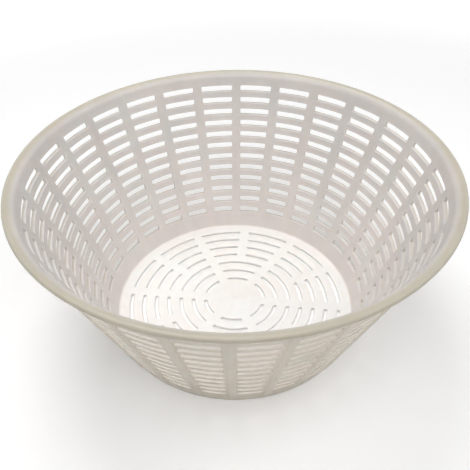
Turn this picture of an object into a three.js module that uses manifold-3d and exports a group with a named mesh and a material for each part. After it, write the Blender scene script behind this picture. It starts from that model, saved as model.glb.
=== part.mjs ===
// Draining basket of a salad spinner: one thin plastic moulding, a cone that opens upward, with a rolled
// rim, twelve rows of drain slots between upright webs, and a floor of curved slots. Millimetres, +Z up.
// The origin is on the basket's axis, in the plane that it stands on.
import * as THREE from 'three';
import { mergeGeometries, mergeVertices } from 'three/addons/utils/BufferGeometryUtils.js';
import Module from 'manifold-3d';

// ---------------------------------------------------------------- driving dimensions
const height = 109; // table to the top of the rim
const rimRadius = 125; // axis to the outermost point of the rim
const baseRadius = 78.6; // axis to the outside of the wall where it meets the table
const wallThickness = 2; // square to the wall

const flareRadius = 5.5; // inside radius of the outward roll at the top of the wall
const rimEdgeRadius = 1.45; // rounding of the rim's outer edge
const lipDrop = 3.3; // top of the rim to the lower edge of its turned-down lip
const lipThickness = 1.5; // of the turned-down lip
const lipDraft = 0.6; // how much the lip's outside leans in towards its lower edge
const jointDrop = 0.8; // straight wall above the rim's lower edge, before the roll begins

const webCount = 26; // upright webs between the columns of slots
const webWidth = 6.2; // from slot to slot, the same all the way down
const slotHeight = 3.6; // height of one drain slot
const bandHeight = 4; // height of the plastic between two rows
const plainTop = 8.5; // top of the rim to the first row of slots
const plainBottom = 12.5; // least height of unslotted wall above the table
const ribInset = 0.8; // edge of a web to the side of the stiffening rib on its outside
const ribRise = 0.8; // how far that rib stands out from the wall
const ribTaper = 4; // height in which a rib fades into the wall at each end
const ribFoot = 5; // table to the start of the ribs
const ribHeadroom = 1.2; // end of the ribs to the rim's joint

const footHeight = 0.6; // table to the underside of the floor
const floorThickness = 1.8;
const cornerFillet = 2; // inside corner between the wall and the floor
const footWidth = 3; // width of the ring that the basket stands on
const footEdgeRadius = 0.5; // rounding of the foot's outer edge

const ringGap = 2; // width of one curved slot in the floor
const ringPitch = 8.33; // from one ring of slots to the next
const firstRing = 19.4; // axis to the middle of the innermost ring
const ringMargin = 5.5; // least plain floor between the last ring and the corner fillet
const spokeCount = 6; // full spokes of the floor
const spokeWidth = 6.6; // from slot end to slot end across a spoke
const spokeTurn = THREE.MathUtils.degToRad(-5.5); // first spoke, measured from +X
const longestArc = 36; // a ring whose slots would be longer gets an extra spoke in each

const bossRadius = 9; // boss under the centre of the floor
const bossClearance = 0.3; // table to the boss's face
const bossDraft = 0.25; // widening of the boss per mm of height
const socketRadius = 4; // mouth of the cone that sits on the bowl's pin
const socketTip = 1.2; // radius at the top of that cone
const socketCover = 1; // plastic left between the cone's top and the floor's upper face

// ---------------------------------------------------------------- facets
const turnFacets = webCount * 2; // so that vertices fall on the middle of each web and each slot
const bossFacets = 32;
const arcStep = THREE.MathUtils.degToRad(10); // greatest turn between two points of a floor slot's side
const cutMargin = 5; // how far a cutter reaches past what it cuts

// ---------------------------------------------------------------- the wall's cone, worked out
// The roll at the top is centred on rollCentre. The wall's outside is the straight line from the foot
// that touches the roll's underside, so the lean follows from the base, the rim and the height.
const rollCentre = new THREE.Vector2(rimRadius - rimEdgeRadius, height - flareRadius);
const underRoll = flareRadius - wallThickness;
const footToRoll = Math.hypot(rollCentre.x - baseRadius, rollCentre.y);
const lean = Math.atan2(rollCentre.x - baseRadius, rollCentre.y) - Math.asin(underRoll / footToRoll);
const levelThickness = wallThickness / Math.cos(lean); // the wall measured on the level

const floorTop = footHeight + floorThickness;
const jointLevel = rollCentre.y + underRoll * Math.sin(lean) - jointDrop; // rim above, side wall below
const pitch = slotHeight + bandHeight;
const rowCount = Math.floor((height - plainTop - plainBottom + bandHeight) / pitch);
const ribWidth = webWidth - 2 * ribInset;
const footEdge = Math.min(footEdgeRadius, footHeight); // the rounding stays within the foot
const bossDrop = footHeight - bossClearance;
const socketTop = floorTop - socketCover;
const socketSlope = (socketRadius - socketTip) / (socketTop - bossClearance); // widening per mm of depth

function wallOutside(z) {
  return baseRadius + z * Math.tan(lean);
}

function wallInside(z) {
  return wallOutside(z) - levelThickness;
}

// ---------------------------------------------------------------- solids
const wasm = await Module();
wasm.setup();

function solidOf(geometry) {
  const bare = geometry.clone();
  bare.deleteAttribute('normal');
  bare.deleteAttribute('uv');
  const merged = mergeVertices(bare, 1e-4);
  const vertProperties = Float32Array.from(merged.getAttribute('position').array);
  const triVerts = Uint32Array.from(merged.getIndex().array);
  return new wasm.Manifold(new wasm.Mesh({ numProp: 3, vertProperties, triVerts }));
}

function geometryOf(solid) {
  const mesh = solid.getMesh();
  const geometry = new THREE.BufferGeometry();
  geometry.setAttribute('position', new THREE.Float32BufferAttribute(mesh.vertProperties, 3));
  geometry.setIndex(Array.from(mesh.triVerts));
  geometry.computeVertexNormals();
  return geometry;
}

// A turned solid. The profile is a list of (radius, height) points, counter-clockwise with the axis on
// its left: up the outside and down the inside.
function turned(profile, facets) {
  const geometry = new THREE.LatheGeometry(profile, facets);
  geometry.rotateX(Math.PI / 2);
  return solidOf(geometry);
}

// Points of a round stretch of a profile, its angles in radians from the outward direction.
function arc(centre, radius, from, to, steps) {
  const points = [];
  for (let i = 0; i <= steps; i += 1) {
    const angle = from + ((to - from) * i) / steps;
    points.push(new THREE.Vector2(centre.x + radius * Math.cos(angle), centre.y + radius * Math.sin(angle)));
  }
  return points;
}

function point(radius, z) {
  return new THREE.Vector2(radius, z);
}

// ---------------------------------------------------------------- rim
// Section, from the joint: up the outside, round the hollow under the roll, down and round the lip, over
// the rounded edge, then back down the inside of the flare.
function makeRim() {
  const towardsWall = Math.PI - lean;
  const lipInside = rimRadius - lipDraft - lipThickness;
  const lipOutside = rimRadius - lipDraft;
  const lipFoot = height - lipDrop;
  const hollowEnd = Math.acos(Math.max(-1, (lipInside - rollCentre.x) / underRoll));
  const edgeCentre = point(rimRadius - rimEdgeRadius, height - rimEdgeRadius);
  const lipEdge = lipThickness / 3;
  const profile = [
    point(wallOutside(jointLevel), jointLevel),
    ...arc(rollCentre, underRoll, towardsWall, hollowEnd, 3),
    point(lipInside, lipFoot),
    point(lipOutside - lipEdge, lipFoot),
    point(lipOutside, lipFoot + lipEdge),
    ...arc(edgeCentre, rimEdgeRadius, 0, Math.PI / 2, 3),
    ...arc(rollCentre, flareRadius, Math.PI / 2, towardsWall, 4).slice(1),
    point(wallInside(jointLevel), jointLevel),
  ];
  profile.push(profile[0].clone());
  return turned(profile, turnFacets);
}

// ---------------------------------------------------------------- side wall
// The plain cone between the floor's top and the rim, with the fillet at its inside foot.
function plainWall() {
  // The fillet touches the floor's top and the leaning inside face of the wall.
  const insideFoot = wallInside(floorTop);
  const turn = Math.PI / 2 - lean;
  const reach = cornerFillet * Math.tan(turn / 2);
  const filletCentre = point(insideFoot - reach, floorTop + cornerFillet);
  const profile = [
    point(wallOutside(floorTop), floorTop),
    point(wallOutside(jointLevel), jointLevel),
    point(wallInside(jointLevel), jointLevel),
    ...arc(filletCentre, cornerFillet, -lean, -Math.PI / 2, 2),
  ];
  profile.push(profile[0].clone());
  return turned(profile, turnFacets);
}

// One stiffening rib in the plane of its web: a strip on the wall's outside that fades out at both ends.
function ribBar() {
  const head = jointLevel - ribHeadroom;
  const rise = ribRise / Math.cos(lean);
  const root = levelThickness / 2; // buried in the wall
  const side = new THREE.Shape([
    point(wallOutside(ribFoot) - root, ribFoot),
    point(wallOutside(ribFoot), ribFoot),
    point(wallOutside(ribFoot + ribTaper) + rise, ribFoot + ribTaper),
    point(wallOutside(head - ribTaper) + rise, head - ribTaper),
    point(wallOutside(head), head),
    point(wallOutside(head) - root, head),
  ]);
  const geometry = new THREE.ExtrudeGeometry(side, { depth: ribWidth, bevelEnabled: false });
  geometry.translate(0, 0, -ribWidth / 2);
  geometry.rotateX(Math.PI / 2);
  return geometry;
}

// One drain slot: a level cutter between two webs. Its sides are parallel to the webs' own sides, so a
// web keeps its width from the rim to the floor.
function slotCutter(low) {
  const half = Math.PI / webCount;
  const near = wallInside(low) - cutMargin;
  const far = wallOutside(low + slotHeight) + cutMargin;
  const halfWidth = (x) => x * Math.tan(half) - webWidth / 2 / Math.cos(half);
  const outline = new THREE.Shape([
    point(near, -halfWidth(near)),
    point(far, -halfWidth(far)),
    point(far, halfWidth(far)),
    point(near, halfWidth(near)),
  ]);
  const geometry = new THREE.ExtrudeGeometry(outline, { depth: slotHeight, bevelEnabled: false });
  geometry.rotateZ(half);
  geometry.translate(0, 0, low);
  return geometry;
}

// Copies of a piece round the axis, one for each web, starting from a web on +Y.
function aroundWebs(geometry) {
  const copies = [];
  for (let i = 0; i < webCount; i += 1) {
    copies.push(geometry.clone().rotateZ(Math.PI / 2 + (i * 2 * Math.PI) / webCount));
  }
  return copies;
}

function makeSideWall() {
  const ribs = solidOf(mergeGeometries(aroundWebs(ribBar())));
  const cutters = [];
  for (let row = 0; row < rowCount; row += 1) {
    const low = height - plainTop - slotHeight - row * pitch;
    cutters.push(...aroundWebs(slotCutter(low)));
  }
  return plainWall().add(ribs).subtract(solidOf(mergeGeometries(cutters)));
}

// ---------------------------------------------------------------- floor
// One curved slot: a ring sector with its middle at the angle given.
function arcSlot(radius, middle, sweep) {
  const steps = Math.max(2, Math.round(sweep / arcStep));
  const centre = point(0, 0);
  const outer = arc(centre, radius + ringGap / 2, middle - sweep / 2, middle + sweep / 2, steps);
  const inner = arc(centre, radius - ringGap / 2, middle + sweep / 2, middle - sweep / 2, steps);
  const depth = floorThickness + 2 * cutMargin;
  const geometry = new THREE.ExtrudeGeometry(new THREE.Shape([...outer, ...inner]), {
    depth,
    bevelEnabled: false,
  });
  geometry.translate(0, 0, footHeight - cutMargin);
  return geometry;
}

function makeFloorGrid() {
  const disc = turned(
    [
      point(0, socketTop),
      point(socketTip, socketTop),
      point(socketTip + (socketTop - footHeight) * socketSlope, footHeight),
      point(wallOutside(footHeight), footHeight),
      point(wallOutside(floorTop), floorTop),
      point(0, floorTop),
    ],
    turnFacets,
  );
  const lastRing = wallInside(floorTop) - cornerFillet - ringMargin;
  const cutters = [];
  for (let radius = firstRing; radius <= lastRing; radius += ringPitch) {
    const fullArc = (2 * Math.PI * radius) / spokeCount - spokeWidth;
    const spokes = fullArc > longestArc ? 2 * spokeCount : spokeCount;
    const step = (2 * Math.PI) / spokes;
    for (let i = 0; i < spokes; i += 1) {
      cutters.push(arcSlot(radius, spokeTurn + (i + 0.5) * step, step - spokeWidth / radius));
    }
  }
  return disc.subtract(solidOf(mergeGeometries(cutters)));
}

function makeFootRing() {
  const edge = point(wallOutside(0) - footEdge, footEdge);
  const inside = wallOutside(footHeight) - footWidth;
  const profile = [
    point(inside, 0),
    ...arc(edge, footEdge, -Math.PI / 2, 0, 2),
    point(wallOutside(footHeight), footHeight),
    point(inside, footHeight),
  ];
  profile.push(profile[0].clone());
  return turned(profile, turnFacets);
}

function makePivotBoss() {
  const profile = [
    point(socketRadius, bossClearance),
    point(bossRadius, bossClearance),
    point(bossRadius + bossDrop * bossDraft, footHeight),
    point(socketRadius - bossDrop * socketSlope, footHeight),
  ];
  profile.push(profile[0].clone());
  return turned(profile, bossFacets);
}

// ---------------------------------------------------------------- the basket
const naturalWhite = 0xd2cdc6;

function moulded(name, solid) {
  const material = new THREE.MeshStandardMaterial({ color: naturalWhite, roughness: 0.42, metalness: 0 });
  const mesh = new THREE.Mesh(geometryOf(solid), material);
  mesh.name = name;
  return mesh;
}

const basket = new THREE.Group();
basket.add(
  moulded('rim', makeRim()),
  moulded('side_wall', makeSideWall()),
  moulded('floor_grid', makeFloorGrid()),
  moulded('foot_ring', makeFootRing()),
  moulded('pivot_boss', makePivotBoss()),
);

export default basket;
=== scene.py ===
"""A salad spinner's draining basket, one translucent white moulding, standing on a pale table.

The basket is one closed mesh made here from its profile: a cone of webs and drain slots with rounded
edges, a rolled rim, and a floor of curved slots. It stands for the five CAD nodes, which are regions of
the same moulding. Lengths are in millimetres until the mesh is made; Blender's own units are metres.
"""

import math

import bmesh
import bpy
import numpy as np
from mathutils import Matrix, Vector


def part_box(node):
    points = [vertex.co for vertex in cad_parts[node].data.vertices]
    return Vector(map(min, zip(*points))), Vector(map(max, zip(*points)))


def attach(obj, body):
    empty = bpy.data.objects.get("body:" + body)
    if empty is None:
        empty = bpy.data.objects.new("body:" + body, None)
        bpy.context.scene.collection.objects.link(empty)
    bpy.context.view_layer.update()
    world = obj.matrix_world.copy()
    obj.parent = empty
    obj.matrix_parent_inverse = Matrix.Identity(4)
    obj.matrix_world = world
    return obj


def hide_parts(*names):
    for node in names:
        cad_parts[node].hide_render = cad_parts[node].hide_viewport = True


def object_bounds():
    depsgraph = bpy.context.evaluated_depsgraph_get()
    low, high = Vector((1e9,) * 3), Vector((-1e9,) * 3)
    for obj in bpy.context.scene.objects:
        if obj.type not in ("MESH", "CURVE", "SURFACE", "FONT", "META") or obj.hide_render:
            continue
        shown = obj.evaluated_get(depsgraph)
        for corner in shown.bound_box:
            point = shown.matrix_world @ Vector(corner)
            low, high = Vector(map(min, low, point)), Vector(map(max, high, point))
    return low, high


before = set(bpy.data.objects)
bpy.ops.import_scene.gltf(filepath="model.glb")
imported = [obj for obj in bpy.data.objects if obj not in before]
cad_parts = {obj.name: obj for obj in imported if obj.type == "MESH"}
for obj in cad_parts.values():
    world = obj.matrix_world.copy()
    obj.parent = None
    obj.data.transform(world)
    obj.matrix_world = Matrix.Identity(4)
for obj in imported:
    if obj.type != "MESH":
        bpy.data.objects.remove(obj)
cad_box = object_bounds()
MM = 0.001

# ---------------------------------------------------------------- sizes from the frame
HEIGHT = cad_box[1].z / MM
RIM_RADIUS = cad_box[1].x / MM
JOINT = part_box("rim")[0].z / MM
FLOOR_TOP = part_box("floor_grid")[1].z / MM
FOOT_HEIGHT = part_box("floor_grid")[0].z / MM
BOSS_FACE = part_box("pivot_boss")[0].z / MM

# ---------------------------------------------------------------- sizes of the moulding
BASE_RADIUS = 78.6  # axis to the outside of the wall where it meets the table
WALL = 2.0  # square to the wall
FLARE_RADIUS = 5.5  # inside of the outward roll at the top of the wall
RIM_EDGE = 1.45  # rounding of the rim's outer edge
LIP_DROP = 3.3  # top of the rim to the lower edge of its turned-down lip
LIP_THICKNESS = 1.5
LIP_DRAFT = 0.6  # how much the lip leans in towards its lower edge
LIP_ROUND_IN, LIP_ROUND_OUT = 0.25, 0.4  # rounding of its lower edges, as shares of its thickness

WEBS = 26
WEB_WIDTH = 6.2  # from slot to slot, the same all the way down
SLOT_HEIGHT = 3.6
BAND_HEIGHT = 4.0  # between two rows of slots
PLAIN_TOP = 8.5  # top of the rim to the first row
ROWS = 12
RIB_RISE = 0.8  # of the rib on the outside of each web
RIB_TAPER = 4.0  # height in which a rib fades into the wall at each end
RIB_FOOT = 5.0  # table to the start of the ribs
RIB_HEADROOM = 1.2  # end of the ribs to the rim's joint

CORNER_FILLET = 2.0  # inside, between the wall and the floor
FOOT_WIDTH = 3.0
FOOT_EDGE = 0.5  # rounding of the foot's outer edge

RING_GAP = 2.0  # width of one curved slot in the floor
RING_PITCH = 8.33
FIRST_RING = 19.4  # axis to the middle of the innermost ring
RINGS = 7
SPOKES = 6
SPLIT_FROM_RING = 3  # counted from 0; from this ring outward an extra spoke splits each slot
SPOKE_WIDTH = 6.6
SPOKE_TURN = math.radians(-5.5)  # first spoke, from +X

BOSS_RADIUS = 9.0  # boss under the centre of the floor
SOCKET_RADIUS = 4.0  # mouth of the cone that sits on the bowl's pin
SOCKET_TIP = 1.2  # radius at the top of that cone
SOCKET_COVER = 1.0  # plastic left between the cone's top and the floor's upper face
GATE_RADIUS = 1.6  # mark of the mould's gate in the middle of the floor
GATE_RISE = 0.25
GATE_SLOPE = 0.3  # half the width of the mark's sloping edge
GATE_SHOULDER = 0.3  # share of the rise that the mark has in the middle of its slope

# ---------------------------------------------------------------- rounding and fineness
SLOT_CORNER = 0.7  # corners of the wall's slots, seen from the front
SLOT_EDGE = 0.15  # edges of the wall's slots, where they meet its faces
RING_CORNER = 0.6  # the same two roundings of the floor's slots
RING_EDGE = 0.7
SMALL_EDGE = 0.12  # of the boss and the foot
# Half of a web, from its middle: distance sideways, and the share of the rib's rise there.
RIB_SECTION = ((0.0, 1.0), (1.05, 0.97), (1.65, 0.82), (2.05, 0.5), (2.4, 0.14), (2.75, 0.0))
CORNER_STEPS = 2  # of half a corner
LONG_STEPS = 4  # of a slot's straight long side
SHORT_STEPS = 2  # of a slot's straight short side
ARC_STEPS = 24  # of the floor's circle, from one spoke to the next
PLAIN_LEVELS = (9.0, 7.0)  # rings of points in the plain wall under the slots
FOOT_LEVEL = 3.0  # and one more on the outside, under the ribs
PLAIN_FLOOR = 8.0  # radius of a ring of points between the gate's mark and the slots

# ---------------------------------------------------------------- the wall's cone
ROLL = (RIM_RADIUS - RIM_EDGE, HEIGHT - FLARE_RADIUS)
UNDER_ROLL = FLARE_RADIUS - WALL
LEAN = math.atan2(ROLL[0] - BASE_RADIUS, ROLL[1]) - math.asin(
    UNDER_ROLL / math.hypot(ROLL[0] - BASE_RADIUS, ROLL[1])
)
LEVEL_WALL = WALL / math.cos(LEAN)
PITCH = SLOT_HEIGHT + BAND_HEIGHT
TOP_SLOT = HEIGHT - PLAIN_TOP - SLOT_HEIGHT / 2  # middle of the top row
BAY = 2 * math.pi / WEBS


def outside(z):
    """Radius of the wall's outside at height z."""
    return BASE_RADIUS + z * math.tan(LEAN)


def inside(z):
    """Radius of the wall's inside at height z."""
    return outside(z) - LEVEL_WALL


def rib_rise(share, z):
    """How far the rib stands out at height z, where its section has that share of its full rise."""
    head = JOINT - RIB_HEADROOM
    fade = np.clip(np.minimum(z - RIB_FOOT, head - z) / RIB_TAPER, 0, 1)
    return RIB_RISE / math.cos(LEAN) * share * fade * fade * (3 - 2 * fade)


def arc(centre, radius, start, end, steps):
    """Points (radius, height) of a round stretch of the profile; angles in degrees from outward."""
    turn = np.radians(np.linspace(start, end, steps + 1))
    return [(centre[0] + radius * math.cos(t), centre[1] + radius * math.sin(t)) for t in turn]


# ---------------------------------------------------------------- mesh under construction
class Skin:
    """Vertices and faces of a closed skin. Each method takes and gives arrays of vertex numbers."""

    def __init__(self):
        self.points = []
        self.count = 0
        self.quads = []
        self.triangles = []

    def add(self, points):
        """New vertices, numbered in an array of the same shape."""
        points = np.asarray(points, float)
        numbers = np.arange(self.count, self.count + points[..., 0].size).reshape(points.shape[:-1])
        self.points.append(points.reshape(-1, 3))
        self.count += numbers.size
        return numbers

    def strip(self, first, second):
        """Quads between closed loops, given along the last axis of two arrays of the same shape."""
        first, second = np.asarray(first), np.asarray(second)
        corners = (first, np.roll(first, -1, -1), np.roll(second, -1, -1), second)
        self.quads.append(np.stack(corners, -1).reshape(-1, 4))

    def patch(self, grid):
        """Quads of an open grid, over its last two axes."""
        corners = (grid[..., :-1, :-1], grid[..., 1:, :-1], grid[..., 1:, 1:], grid[..., :-1, 1:])
        self.quads.append(np.stack(corners, -1).reshape(-1, 4))

    def fan(self, loop, centre):
        """Triangles from a closed loop to one vertex in its middle."""
        loop = np.asarray(loop)
        hub = np.full(loop.shape, centre)
        self.triangles.append(np.stack((loop, np.roll(loop, -1), hub), -1))

    def zip(self, first, second):
        """Triangles between two loops round the axis with different numbers of points."""
        points = np.concatenate(self.points)

        def from_zero(loop):
            turn = np.arctan2(points[loop, 1], points[loop, 0]) % (2 * math.pi)
            order = np.argsort(turn)
            return loop[order], turn[order]

        (a, turn_a), (b, turn_b) = from_zero(np.asarray(first)), from_zero(np.asarray(second))
        i = j = 0
        made = []
        while i < len(a) or j < len(b):
            next_a = turn_a[i + 1] if i + 1 < len(a) else turn_a[0] + 2 * math.pi
            next_b = turn_b[j + 1] if j + 1 < len(b) else turn_b[0] + 2 * math.pi
            here_a, here_b = a[i % len(a)], b[j % len(b)]
            if j >= len(b) or (i < len(a) and next_a <= next_b):
                made.append((here_a, a[(i + 1) % len(a)], here_b))
                i += 1
            else:
                made.append((here_a, b[(j + 1) % len(b)], here_b))
                j += 1
        self.triangles.append(np.array(made))

    def mesh(self, name):
        """One Blender mesh in metres, its faces turned outward and smooth, its large faces kept flat."""
        points = np.concatenate(self.points) * MM
        quads = np.concatenate(self.quads)
        triangles = np.concatenate(self.triangles)
        mesh = bpy.data.meshes.new(name)
        mesh.from_pydata(points.tolist(), [], quads.tolist() + triangles.tolist())
        turn_outward(mesh)
        mesh.shade_smooth()
        mesh.normals_split_custom_set_from_vertices(weighted_normals(mesh))
        mesh.update()
        return mesh


def turn_outward(mesh):
    """The mesh's faces, all turned to face away from the plastic."""
    work = bmesh.new()
    work.from_mesh(mesh)
    bmesh.ops.recalc_face_normals(work, faces=work.faces)
    if work.calc_volume(signed=True) < 0:
        bmesh.ops.reverse_faces(work, faces=work.faces)
    work.to_mesh(mesh)
    work.free()


def weighted_normals(mesh):
    """Vertex normals weighted by the area of the faces, so that a narrow rounding doesn't bend them."""
    count = len(mesh.vertices)
    points = np.empty(count * 3)
    mesh.vertices.foreach_get("co", points)
    points = points.reshape(-1, 3)
    mesh.calc_loop_triangles()
    corners = np.empty(len(mesh.loop_triangles) * 3, int)
    mesh.loop_triangles.foreach_get("vertices", corners)
    a, b, c = corners.reshape(-1, 3).T
    area = np.cross(points[b] - points[a], points[c] - points[a])
    normals = np.zeros((count, 3))
    for corner in (a, b, c):
        for axis in range(3):
            normals[:, axis] += np.bincount(corner, area[:, axis], count)
    return normals / np.linalg.norm(normals, axis=1)[:, None]


# ---------------------------------------------------------------- outline of a slot
def slot_outline(half_height, corner, long_steps, short_steps, grow=0.0):
    """Closed outline of a slot with round corners, clockwise from the middle of its top left corner.

    Each row is (share, inset, across). inset is the distance in from the slot's end, share is 0 at the
    left end and 1 at the right, and in between it spreads the points of the long side evenly. across is
    measured from the slot's middle line. grow moves the outline outward.
    """
    radius = corner + grow

    def corner_point(turn, end):
        return (end, corner - radius * math.cos(turn), half_height - corner + radius * math.sin(turn))

    steep = np.radians(np.linspace(45, 90, CORNER_STEPS + 1))
    shallow = np.radians(np.linspace(45, 0, CORNER_STEPS + 1))[1:]
    top = [corner_point(turn, 0) for turn in steep]
    top += [(share, corner, half_height + grow) for share in np.linspace(0, 1, long_steps + 1)[1:-1]]
    top += [corner_point(turn, 1) for turn in steep[::-1]]
    side = [corner_point(turn, 1) for turn in shallow]
    straight = (half_height - corner) * np.linspace(1, -1, short_steps + 1)[1:-1]
    side += [(1, -grow, across) for across in straight]
    side += [(1, inset, -across) for _, inset, across in side[CORNER_STEPS - 1 :: -1]]
    half = top + side
    return np.array(half + [(1 - share, inset, -across) for share, inset, across in half])


def pierce(skin, border, place, edge):
    """The skin from the border of each cell to the start of its slot's wall, with a rounded edge."""
    sunk = edge * (1 - math.sin(math.pi / 4))
    loop = border
    for grow, depth in ((edge, 0.0), (sunk, sunk), (0.0, edge)):
        following = skin.add(place(grow, depth))
        skin.strip(loop, following)
        loop = following
    return loop


def around(radius, turn, z):
    """Points at that radius, angle and height; the three may have any shapes that fit together."""
    radius, turn, z = np.broadcast_arrays(radius, turn, z)
    return np.stack((radius * np.cos(turn), radius * np.sin(turn), z), -1)


# ---------------------------------------------------------------- wall
# The wall repeats every bay: half a web, a column of slots and the next web's other half.
HALF_SLOT = SLOT_HEIGHT / 2
WEB_HALF = WEB_WIDTH / 2
OUTLINE = slot_outline(HALF_SLOT, SLOT_CORNER, LONG_STEPS, SHORT_STEPS)
TOP_POINTS = LONG_STEPS + 2 * CORNER_STEPS + 1
SIDE_POINTS = SHORT_STEPS + 2 * CORNER_STEPS - 1
HALF_COLUMNS = len(RIB_SECTION)
BAY_COLUMNS = 2 * HALF_COLUMNS + TOP_POINTS - 3
BAY_TURN = (math.pi / 2 + BAY * np.arange(WEBS))[:, None]  # of each bay's first web, one on +Y


def slot_turn(share, inset, radius):
    """Angle from a bay's first web to a point of its slots, where the wall has that radius."""
    first = np.arcsin((WEB_HALF + inset) / radius)
    return first + share * (BAY - 2 * first)


def ring(radius, z, ribbed=False):
    """One level of the wall all the way round, as points [bay, column]."""
    aside, share = np.array(RIB_SECTION).T
    web_radius = radius + (rib_rise(share, z) if ribbed else 0 * share)
    first_web = np.arcsin(aside / web_radius)
    next_web = BAY - first_web[:0:-1]
    between = OUTLINE[1 : TOP_POINTS - 1]
    slots = slot_turn(between[:, 0], between[:, 1], radius)
    turn = np.concatenate((first_web, slots, next_web))
    radii = np.concatenate((web_radius, np.full(len(slots), radius), web_radius[:0:-1]))
    return around(radii, BAY_TURN + turn, z)


def wall_side(skin, radius_at, ribbed, sink):
    """One face of the slotted wall. Gives its top ring, its bottom ring and its slots' inner loops."""
    middles = TOP_SLOT - PITCH * np.arange(ROWS)
    side_levels = OUTLINE[TOP_POINTS : TOP_POINTS + SIDE_POINTS, 2]
    last_web = BAY_COLUMNS - HALF_COLUMNS + 1
    levels = []
    for middle in middles:
        levels.append(skin.add(ring(radius_at(middle + PITCH / 2), middle + PITCH / 2, ribbed)))
        for z in middle + side_levels:
            points = ring(radius_at(z), z, ribbed)
            numbers = np.full(points.shape[:-1], -1)
            numbers[:, :HALF_COLUMNS] = skin.add(points[:, :HALF_COLUMNS])
            numbers[:, last_web:] = skin.add(points[:, last_web:])
            levels.append(numbers)
    lowest = middles[-1] - PITCH / 2
    levels.append(skin.add(ring(radius_at(lowest), lowest, ribbed)))
    grid = np.array(levels)  # [level, bay, column]

    webs = np.concatenate((np.roll(grid[:, :, last_web:], 1, axis=1), grid[:, :, :HALF_COLUMNS]), -1)
    skin.patch(np.moveaxis(webs, 0, 1))

    left, right = HALF_COLUMNS - 1, last_web
    borders = []
    for row in range(ROWS):
        top = row * (SIDE_POINTS + 1)
        bottom = top + SIDE_POINTS + 1
        sides = grid[top + 1 : bottom]
        borders.append(
            np.concatenate(
                (
                    grid[top, :, left : right + 1],
                    sides[:, :, right].T,
                    grid[bottom, :, left : right + 1][:, ::-1],
                    sides[::-1, :, left].T,
                ),
                -1,
            )
        )

    def place(grow, depth):
        share, inset, across = slot_outline(HALF_SLOT, SLOT_CORNER, LONG_STEPS, SHORT_STEPS, grow).T
        z = middles[:, None] + across
        radius = radius_at(z)
        turn = slot_turn(share, inset, radius)
        radius = radius + sink * depth / math.cos(LEAN)
        return around(radius[:, None], turn[:, None] + BAY_TURN[None], z[:, None])

    loops = pierce(skin, np.array(borders), place, SLOT_EDGE)
    return grid[0].reshape(-1), grid[-1].reshape(-1), loops


def rings_between(skin, first, profile, last=None, ribbed=False):
    """Strips from the ring first through each (radius, height) of the profile to the ring last."""
    loop = first
    for radius, z in profile:
        following = skin.add(ring(radius, z, ribbed)).reshape(-1)
        skin.strip(loop, following)
        loop = following
    if last is not None:
        skin.strip(loop, last)
    return loop


def rim_profile():
    """From the wall's outside, under the roll, round the lip, over the top and down the flare."""
    lip_outside = RIM_RADIUS - LIP_DRAFT
    lip_inside = lip_outside - LIP_THICKNESS
    lip_foot = HEIGHT - LIP_DROP
    wall_side_turn = 180 - math.degrees(LEAN)
    hollow_end = math.degrees(math.acos((lip_inside - ROLL[0]) / UNDER_ROLL))
    round_in, round_out = LIP_THICKNESS * LIP_ROUND_IN, LIP_THICKNESS * LIP_ROUND_OUT
    return [
        (outside(JOINT), JOINT),
        *arc(ROLL, UNDER_ROLL, wall_side_turn, hollow_end, 6),
        (lip_inside, lip_foot + round_in * 2),
        *arc((lip_inside + round_in, lip_foot + round_in), round_in, 180, 270, 3),
        *arc((lip_outside - round_out, lip_foot + round_out), round_out, 270, 360, 4),
        *arc((RIM_RADIUS - RIM_EDGE, HEIGHT - RIM_EDGE), RIM_EDGE, 0, 90, 7),
        *arc(ROLL, FLARE_RADIUS, 90, wall_side_turn, 12)[1:],
        (inside(JOINT), JOINT),
    ]


# ---------------------------------------------------------------- floor
FULL_TURN_POINTS = ARC_STEPS * SPOKES


def floor_ring(radius, z):
    """Points of a circle in the floor, the first of them in the middle of a spoke."""
    return around(radius, SPOKE_TURN + np.linspace(0, 2 * math.pi, FULL_TURN_POINTS + 1)[:-1], z)


def floor_rings(skin, first, profile):
    """Strips from the ring first through each (radius, height) of the profile."""
    loop = first
    for radius, z in profile:
        following = skin.add(floor_ring(radius, z))
        skin.strip(loop, following)
        loop = following
    return loop


def floor_side(skin, z, sink):
    """One face of the slotted floor. Gives its inmost ring, its outmost ring and its slots' loops."""
    bounds = [skin.add(floor_ring(FIRST_RING + (k - 0.5) * RING_PITCH, z)) for k in range(RINGS + 1)]
    loops = []
    for k in range(RINGS):
        sectors = SPOKES * (2 if k >= SPLIT_FROM_RING else 1)
        steps = FULL_TURN_POINTS // sectors
        long_steps = steps - 2 * CORNER_STEPS
        middle = FIRST_RING + k * RING_PITCH
        start = (SPOKE_TURN + 2 * math.pi / sectors * np.arange(sectors))[:, None]

        def outline(grow):
            return slot_outline(RING_GAP / 2, RING_CORNER, long_steps, 1, grow).T

        side_points = 2 * CORNER_STEPS
        across = outline(0)[2][steps + 1 : steps + 1 + side_points]
        spokes = skin.add(around(middle + across, start, z))
        picks = (steps * np.arange(sectors)[:, None] + np.arange(steps + 1)) % FULL_TURN_POINTS
        border = np.concatenate(
            (
                bounds[k + 1][picks],
                np.roll(spokes, -1, 0),
                bounds[k][picks][:, ::-1],
                spokes[:, ::-1],
            ),
            -1,
        )

        def place(grow, depth):
            share, inset, across = outline(grow)
            radius = middle + across
            first = (SPOKE_WIDTH / 2 + inset) / radius
            turn = first + share * (2 * math.pi / sectors - 2 * first)
            return around(radius, start + turn, z + sink * depth)

        loops.append(pierce(skin, border, place, RING_EDGE))
    return bounds[0], bounds[-1], loops


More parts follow.
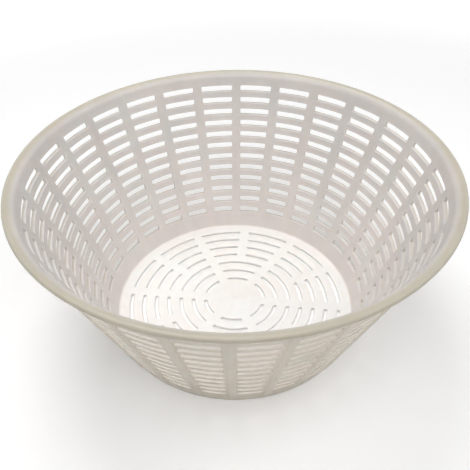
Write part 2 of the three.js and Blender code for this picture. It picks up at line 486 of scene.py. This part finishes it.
def floor_centre_above():
    """The mark that the moulding's gate leaves in the middle of the floor."""
    return [
        (PLAIN_FLOOR, FLOOR_TOP),
        (GATE_RADIUS + GATE_SLOPE, FLOOR_TOP),
        (GATE_RADIUS, FLOOR_TOP + GATE_RISE * GATE_SHOULDER),
        (GATE_RADIUS - GATE_SLOPE, FLOOR_TOP + GATE_RISE),
        (GATE_RADIUS / 2, FLOOR_TOP + GATE_RISE),
    ]


def floor_centre_below():
    """The pivot boss and its shallow cone."""
    cone_top = FLOOR_TOP - SOCKET_COVER
    return [
        (BOSS_RADIUS + 3 * SMALL_EDGE, FOOT_HEIGHT),
        *arc((BOSS_RADIUS + 2 * SMALL_EDGE, FOOT_HEIGHT - SMALL_EDGE), SMALL_EDGE, 90, 180, 2),
        *arc((BOSS_RADIUS, BOSS_FACE + SMALL_EDGE), SMALL_EDGE, 0, -90, 2),
        *arc((SOCKET_RADIUS + SMALL_EDGE, BOSS_FACE + SMALL_EDGE), SMALL_EDGE, -90, -150, 2),
        *arc((SOCKET_TIP, cone_top - SMALL_EDGE), SMALL_EDGE, 30, 90, 2),
        (SOCKET_TIP * 0.4, cone_top),
    ]


# ---------------------------------------------------------------- the basket
def basket_mesh():
    """The whole moulding as one closed mesh."""
    skin = Skin()
    outer_top, outer_bottom, outer_slots = wall_side(skin, outside, True, -1)
    inner_top, inner_bottom, inner_slots = wall_side(skin, inside, False, 1)
    skin.strip(outer_slots, inner_slots)
    rings_between(skin, outer_top, rim_profile(), inner_top)

    # Down the outside, round the foot's edge and up inside the foot to the floor's underside.
    lower = [(outside(z), z) for z in (*PLAIN_LEVELS, RIB_FOOT, FOOT_LEVEL)]
    loop = rings_between(skin, outer_bottom, lower, ribbed=True)
    foot_centre = (outside(FOOT_EDGE) - FOOT_EDGE / math.cos(LEAN), FOOT_EDGE)
    foot_inside = outside(FOOT_HEIGHT) - FOOT_WIDTH
    foot = [
        *arc(foot_centre, FOOT_EDGE, -math.degrees(LEAN), -90, 4),
        *arc((foot_inside + SMALL_EDGE, SMALL_EDGE), SMALL_EDGE, 270, 180, 2),
        *arc((foot_inside - SMALL_EDGE, FOOT_HEIGHT - SMALL_EDGE), SMALL_EDGE, 0, 90, 2),
    ]
    foot_loop = rings_between(skin, loop, foot)

    # Down the inside and round the fillet to the floor.
    fillet_level = FLOOR_TOP + CORNER_FILLET
    fillet_centre = (inside(fillet_level) - CORNER_FILLET / math.cos(LEAN), fillet_level)
    corner = [(inside(z), z) for z in PLAIN_LEVELS]
    corner += arc(fillet_centre, CORNER_FILLET, -math.degrees(LEAN), -90, 6)
    floor_loop = rings_between(skin, inner_bottom, corner)

    top_in, top_out, top_slots = floor_side(skin, FLOOR_TOP, -1)
    under_in, under_out, under_slots = floor_side(skin, FOOT_HEIGHT, 1)
    for above, below in zip(top_slots, under_slots):
        skin.strip(above, below)
    skin.zip(floor_loop, top_out)
    skin.zip(foot_loop, under_out)
    inmost = floor_rings(skin, top_in, floor_centre_above())
    skin.fan(inmost, skin.add([[0, 0, FLOOR_TOP + GATE_RISE]])[0])
    inmost = floor_rings(skin, under_in, floor_centre_below())
    skin.fan(inmost, skin.add([[0, 0, FLOOR_TOP - SOCKET_COVER]])[0])
    return skin.mesh("basket")


def make_basket(material):
    """The basket in the scene, standing for all five CAD nodes."""
    basket = bpy.data.objects.new("basket", basket_mesh())
    bpy.context.scene.collection.objects.link(basket)
    basket.data.materials.append(material)
    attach(basket, "root")
    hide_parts("rim", "side_wall", "floor_grid", "foot_ring", "pivot_boss")


# ---------------------------------------------------------------- material nodes
NOISE_LOW, NOISE_HIGH = 0.3, 0.7  # nearly all of a noise lies between these


class Nodes:
    """A material's node tree, with short ways to make the nodes used here."""

    def __init__(self, name):
        self.material = bpy.data.materials.new(name)
        self.material.use_nodes = True
        self.tree = self.material.node_tree
        self.shader = self.tree.nodes["Principled BSDF"]
        self.output = self.tree.nodes["Material Output"]

    def node(self, kind, **inputs):
        """A new node. An input is a socket to link, or a value; spaces in its name are written _."""
        made = self.tree.nodes.new(kind)
        for name, value in inputs.items():
            self.put(made.inputs[name.replace("_", " ")], value)
        return made

    def put(self, socket, value):
        """An input's value, or its link where the value is another node's output."""
        if isinstance(value, bpy.types.NodeSocket):
            self.tree.links.new(value, socket)
        else:
            socket.default_value = value

    def maths(self, operation, *values):
        """The result of one operation on sockets or numbers."""
        made = self.tree.nodes.new("ShaderNodeMath")
        made.operation = operation
        for socket, value in zip(made.inputs, values):
            self.put(socket, value)
        return made.outputs[0]

    def fade(self, value, start, end):
        """0 where value is at start, 1 where it is at end, smooth between."""
        made = self.node("ShaderNodeMapRange", Value=value, From_Min=start, From_Max=end)
        made.interpolation_type = "SMOOTHSTEP"
        return made.outputs["Result"]

    def blend(self, value, level, change):
        """A fade of a length in metres, which starts and ends at those millimetres from a level."""
        start, end = ((level + step) * MM for step in change)
        return self.fade(value, start, end)

    def noise(self, place, scale, detail):
        return self.node("ShaderNodeTexNoise", Vector=place, Scale=scale, Detail=detail).outputs["Fac"]

    def mix(self, share, first, second):
        """The first colour where share is 0, the second where it is 1."""
        made = self.tree.nodes.new("ShaderNodeMix")
        made.data_type = "RGBA"
        for socket, value in ((made.inputs[0], share), (made.inputs[6], first), (made.inputs[7], second)):
            self.put(socket, value)
        return made.outputs[2]

    def scaled(self, colour, tone):
        """A colour times a single value."""
        made = self.tree.nodes.new("ShaderNodeVectorMath")
        made.operation = "SCALE"
        self.put(made.inputs[0], colour)
        self.put(made.inputs[3], tone)
        return made.outputs[0]

    def product(self, first, second):
        """One colour times another."""
        made = self.tree.nodes.new("ShaderNodeVectorMath")
        made.operation = "MULTIPLY"
        self.put(made.inputs[0], first)
        self.put(made.inputs[1], second)
        return made.outputs[0]

    def spread(self, value, low, high):
        """A noise's middle range, stretched to run from low to high."""
        made = self.node("ShaderNodeMapRange", Value=value, From_Min=NOISE_LOW, From_Max=NOISE_HIGH)
        self.put(made.inputs["To Min"], low)
        self.put(made.inputs["To Max"], high)
        return made.outputs["Result"]

    def bump(self, pattern, height, strength, **under):
        """A normal that follows a pattern that many millimetres high, over the one given as Normal."""
        made = self.node("ShaderNodeBump", Height=pattern, Strength=strength, Distance=height * MM, **under)
        return made.outputs["Normal"]


def seen_rays(tree):
    """1 for rays that carry what the camera sees: straight, mirrored or through glass."""
    rays = tree.nodes.new("ShaderNodeLightPath").outputs
    seen = rays["Is Camera Ray"]
    for other in ("Is Glossy Ray", "Is Transmission Ray"):
        larger = tree.nodes.new("ShaderNodeMath")
        larger.operation = "MAXIMUM"
        tree.links.new(seen, larger.inputs[0])
        tree.links.new(rays[other], larger.inputs[1])
        seen = larger.outputs[0]
    return seen


# ---------------------------------------------------------------- the plastic
# Undyed polypropylene, tinted region by region: the differences between the tints below are painted light
# and shade.
INNER_TINT = (0.772, 0.737, 0.712, 1)
# painted shade: the outside of the wall, turned down and away from the lamps, is tinted darker and warmer
OUTER_TINT_PAINTED_SHADE = (0.764, 0.705, 0.611, 1)
# painted light: the webs are tinted a shade lighter to offset the shade their thicker ribs take
WEB_TINT_PAINTED_LIGHT = (0.780, 0.751, 0.720, 1)
# painted shade: the rim's edge is tinted darker than the wall; part of its yellow is the thicker plastic's
# own tone
RIM_TINT_PAINTED_SHADE = (0.574, 0.529, 0.432, 1)
# painted light: the floor is tinted brighter than the walls for the light from above and the white table
# under it
FLOOR_TINT_PAINTED_LIGHT = (1.000, 0.902, 0.863, 1)
WEB_SHARE = 0.7  # of the webs' tint that a web takes

# Where one tint turns into the next: the start and the end of the change, in millimetres.
OUTSIDE_CHANGE = (-0.4, 0.9)  # outward from the middle of the wall
RIM_CHANGE = (-1.0, 2.0)  # up from the rim's joint
# the rim's painted shade lies on its outer edge and fades out over the inside of the flare
RIM_EDGE_CHANGE = (-6.5, -2.0)  # outward, from the rim's outermost point
FLOOR_CHANGE = (1.0, 0.1)  # up from the floor's upper face
WEB_CHANGE = (0.4, -0.6)  # aside from a web's edge

# Noises in the melt and on the skin: how many to the metre, and how detailed.
HAZE = (22.0, 3.0)
CLOUDS = (55.0, 2.0)
FLOW = (150.0, 4.0)
FLOW_STRETCH = (1.0, 1.0, 0.16)  # the melt flows up the wall
SPECKLE = (900.0, 2.0)
SINK = (75.0, 2.0)
SATIN = (60.0, 3.0)
# What they do to the tint, as its lowest and highest share, and to the roughness.
HAZE_TONES = (0.955, 1.03)
FLOW_TONES = (0.975, 1.015)
SPECKLE_TONES = (0.99, 1.01)
SATIN_ROUGHNESS = (0.36, 0.50)
RIM_POLISH = 0.07  # off the roughness, where the moulding is handled
# The melt is a shade pinker in some places and greyer in others.
PINK_CLOUD = (1.012, 0.994, 0.996, 1)
GREY_CLOUD = (0.985, 1.006, 1.008, 1)

# Height and strength of the bumps that the shader adds to the skin.
WAVE_HEIGHT, WAVE_STRENGTH = 0.3, 0.35
GRAIN_HEIGHT, GRAIN_STRENGTH = 0.05, 0.25

SCATTER_DEPTH = 0.0018  # metres that light spreads inside the plastic
SCATTER_BY_COLOUR = (1.0, 0.97, 0.92)  # shares of that depth for red, green and blue
REFRACTION = 1.49


def places_on_moulding(plastic, place):
    """Shares from 0 to 1 of being on the outside, on the rim, on the floor and on a web."""
    x, y, z = plastic.node("ShaderNodeSeparateXYZ", Vector=place).outputs
    squares = plastic.maths("ADD", plastic.maths("MULTIPLY", x, x), plastic.maths("MULTIPLY", y, y))
    radius = plastic.maths("SQRT", squares)

    wall_middle = plastic.maths("MULTIPLY_ADD", z, math.tan(LEAN), (BASE_RADIUS - LEVEL_WALL / 2) * MM)
    on_outside = plastic.blend(plastic.maths("SUBTRACT", radius, wall_middle), 0, OUTSIDE_CHANGE)

    above_joint = plastic.blend(z, JOINT, RIM_CHANGE)
    near_edge = plastic.blend(radius, RIM_RADIUS, RIM_EDGE_CHANGE)
    on_rim = plastic.maths("MULTIPLY", above_joint, near_edge)

    on_floor = plastic.blend(z, FLOOR_TOP, FLOOR_CHANGE)

    # counted in bays from +X, with half a bay added so that each web is at a whole number
    bays = plastic.maths("MULTIPLY_ADD", plastic.maths("ARCTAN2", y, x), 1 / BAY, 0.5)
    off_web = plastic.maths("ABSOLUTE", plastic.maths("SUBTRACT", bays, plastic.maths("ROUND", bays)))
    from_web = plastic.maths("MULTIPLY", plastic.maths("MULTIPLY", off_web, BAY), radius)
    on_web = plastic.blend(from_web, WEB_HALF, WEB_CHANGE)
    return on_outside, on_rim, on_floor, on_web


def melt_colour_and_painted_light(plastic, place, on_outside, on_rim, on_floor, on_web, speckle):
    """The tint of each place, which carries painted light and shade, under haze and clouds in the melt and
    its flow up the wall.
    """
    # the region tints mixed here are painted light and shade: lighter webs, a lit floor, a shaded outside
    # and a shaded rim edge
    tint = plastic.mix(plastic.maths("MULTIPLY", on_web, WEB_SHARE), INNER_TINT, WEB_TINT_PAINTED_LIGHT)
    tint = plastic.mix(on_floor, tint, FLOOR_TINT_PAINTED_LIGHT)
    tint = plastic.mix(on_outside, tint, OUTER_TINT_PAINTED_SHADE)
    tint = plastic.mix(on_rim, tint, RIM_TINT_PAINTED_SHADE)
    cloud = plastic.spread(plastic.noise(place, *CLOUDS), 0, 1)
    tint = plastic.product(tint, plastic.mix(cloud, PINK_CLOUD, GREY_CLOUD))

    haze = plastic.spread(plastic.noise(place, *HAZE), *HAZE_TONES)
    upward = plastic.node("ShaderNodeMapping", Vector=place, Scale=FLOW_STRETCH).outputs["Vector"]
    flow = plastic.spread(plastic.noise(upward, *FLOW), *FLOW_TONES)
    tone = plastic.maths("MULTIPLY", haze, flow)
    tone = plastic.maths("MULTIPLY", tone, plastic.spread(speckle, *SPECKLE_TONES))
    return plastic.scaled(tint, tone)


def natural_plastic():
    """Undyed polypropylene: satin, and clear enough for light to spread a little way inside it."""
    plastic = Nodes("translucent_polypropylene")
    place = plastic.node("ShaderNodeTexCoord").outputs["Object"]
    speckle = plastic.noise(place, *SPECKLE)
    on_outside, on_rim, on_floor, on_web = places_on_moulding(plastic, place)
    colour = melt_colour_and_painted_light(plastic, place, on_outside, on_rim, on_floor, on_web, speckle)

    satin = plastic.spread(plastic.noise(place, *SATIN), *SATIN_ROUGHNESS)
    polish = plastic.maths("MULTIPLY", on_rim, RIM_POLISH)
    roughness = plastic.maths("SUBTRACT", satin, polish)

    # the mould's fine grain over a slight sink and wave of the surface
    sink = plastic.noise(place, *SINK)
    wave = plastic.bump(sink, WAVE_HEIGHT, WAVE_STRENGTH)
    grain = plastic.bump(speckle, GRAIN_HEIGHT, GRAIN_STRENGTH, Normal=wave)

    inputs = plastic.shader.inputs
    plastic.put(inputs["Base Color"], colour)
    plastic.put(inputs["Roughness"], roughness)
    plastic.put(inputs["Normal"], grain)
    plastic.put(inputs["IOR"], REFRACTION)
    plastic.put(inputs["Subsurface Weight"], 1.0)
    plastic.put(inputs["Subsurface Radius"], SCATTER_BY_COLOUR)
    plastic.put(inputs["Subsurface Scale"], SCATTER_DEPTH)
    return plastic.material


# ---------------------------------------------------------------- table
TABLE_HALF = 6.0  # metres, from the axis to the table's sides
TABLE_TINT = (0.92, 0.92, 0.92, 1)
TABLE_NOISE = (40.0, 3.0)
TABLE_ROUGHNESS = (0.55, 0.7)
TABLE_LIFT = 0.20  # of white, added for the rays of seen_rays() and for no others
BACKDROP_FROM, BACKDROP_TO = 0.4, 1.1  # metres from the axis


def table_material():
    """A white worktop that the camera sees as white where nothing shades it."""
    top = Nodes("table")
    place = top.node("ShaderNodeTexCoord").outputs["Object"]
    top.put(top.shader.inputs["Base Color"], TABLE_TINT)
    roughness = top.spread(top.noise(place, *TABLE_NOISE), *TABLE_ROUGHNESS)
    top.put(top.shader.inputs["Roughness"], roughness)
    # far out, where the lamps no longer reach, the table turns into a white backdrop on every side
    middle = top.node("ShaderNodeVectorMath", Vector=place)
    middle.operation = "LENGTH"
    far = top.fade(middle.outputs["Value"], BACKDROP_FROM, BACKDROP_TO)
    level = top.maths("MULTIPLY_ADD", far, 1 - TABLE_LIFT, TABLE_LIFT)
    strength = top.maths("MULTIPLY", seen_rays(top.tree), level)
    lift = top.node("ShaderNodeEmission", Color=(1, 1, 1, 1), Strength=strength)
    both = top.tree.nodes.new("ShaderNodeAddShader")
    top.put(both.inputs[0], top.shader.outputs["BSDF"])
    top.put(both.inputs[1], lift.outputs["Emission"])
    top.put(top.output.inputs["Surface"], both.outputs[0])
    return top.material


def make_table():
    """A plain square on the ground, in the scene's stage."""
    half = TABLE_HALF
    corners = [(-half, -half, 0), (half, -half, 0), (half, half, 0), (-half, half, 0)]
    mesh = bpy.data.meshes.new("table")
    mesh.from_pydata(corners, [], [(0, 1, 2, 3)])
    table = bpy.data.objects.new("table", mesh)
    bpy.context.scene.collection.objects.link(table)
    mesh.materials.append(table_material())


# ---------------------------------------------------------------- lights
LAMP_DISTANCE = 1.5  # metres from the middle of the table
LAMP_SIZE = 0.8  # metres across
ROOM_LIGHT = 0.02  # strength of the world, except where the camera sees it as white
# name, elevation and turn from +X in degrees, watts
LAMPS = (
    ("back_left", 66, 118, 8.5),
    ("front_left", 66, 238, 4.1),
    ("front_right", 66, 300, 4.2),
    ("front", 42, 272, 3.5),
    ("right", 50, 4, 3.3),
    ("left", 42, 180, 0.6),
)


def soft_lamp(name, place, power):
    """A round lamp that faces the middle of the table."""
    light = bpy.data.lights.new(name, "AREA")
    light.shape = "DISK"
    light.size = LAMP_SIZE
    light.energy = power
    lamp = bpy.data.objects.new(name, light)
    lamp.location = place
    lamp.rotation_euler = (-Vector(place)).to_track_quat("-Z", "Y").to_euler()
    bpy.context.scene.collection.objects.link(lamp)


def make_lamps():
    """The soft lamps, all at the same distance."""
    for name, elevation, turn, power in LAMPS:
        level = LAMP_DISTANCE * math.cos(math.radians(elevation))
        place = (
            level * math.cos(math.radians(turn)),
            level * math.sin(math.radians(turn)),
            LAMP_DISTANCE * math.sin(math.radians(elevation)),
        )
        soft_lamp(name, place, power)


def make_room():
    """A dim white room, as bright as paper where the camera sees it."""
    world = bpy.data.worlds.new("room")
    bpy.context.scene.world = world
    world.use_nodes = True
    tree = world.node_tree
    strength = tree.nodes.new("ShaderNodeMapRange")
    strength.inputs["To Min"].default_value = ROOM_LIGHT
    strength.inputs["To Max"].default_value = 1
    tree.links.new(seen_rays(tree), strength.inputs["Value"])
    tree.links.new(strength.outputs["Result"], tree.nodes["Background"].inputs["Strength"])
    tree.nodes["Background"].inputs["Color"].default_value = (1, 1, 1, 1)


# ---------------------------------------------------------------- camera
# The view was solved from the rim, the floor and the rows of slots.
VIEW_DISTANCE = 2.8675  # rim radii, from the middle of the basket's height
VIEW_ELEVATION = math.radians(40.48)
VIEW_TURN = math.radians(1.45)  # of the whole view about the basket's axis
VIEW_YAW = math.radians(-0.792)
VIEW_ROLL = math.radians(-0.684)
VIEW_LENS = 44.45  # mm, on a sensor 36 mm wide
SENSOR_WIDTH = 36
VIEW_SHIFT = (0.0194, 0.0095)


def make_camera():
    """The photograph's camera, ahead of -Y and looking down at the middle of the basket."""
    distance = VIEW_DISTANCE * RIM_RADIUS * MM
    cos_e, sin_e = math.cos(VIEW_ELEVATION), math.sin(VIEW_ELEVATION)
    place = Vector((0, -distance * cos_e, HEIGHT * MM / 2 + distance * sin_e))
    forward = Vector((0, cos_e, -sin_e))
    right = Vector((1, 0, 0))
    up = right.cross(forward)
    ahead = forward * math.cos(VIEW_YAW) + right * math.sin(VIEW_YAW)
    aside = right * math.cos(VIEW_YAW) - forward * math.sin(VIEW_YAW)
    x_axis = aside * math.cos(VIEW_ROLL) + up * math.sin(VIEW_ROLL)
    y_axis = up * math.cos(VIEW_ROLL) - aside * math.sin(VIEW_ROLL)
    facing = Matrix((x_axis, y_axis, -ahead)).transposed().to_4x4()
    data = bpy.data.cameras.new("camera")
    data.sensor_width = SENSOR_WIDTH
    data.lens = VIEW_LENS
    data.shift_x, data.shift_y = VIEW_SHIFT
    camera = bpy.data.objects.new("camera", data)
    camera.matrix_world = Matrix.Rotation(VIEW_TURN, 4, "Z") @ Matrix.Translation(place) @ facing
    bpy.context.scene.collection.objects.link(camera)
    bpy.context.scene.camera = camera


make_camera()
make_table()
make_lamps()
make_room()
make_basket(natural_plastic())
bpy.context.scene.view_settings.view_transform = "Standard"
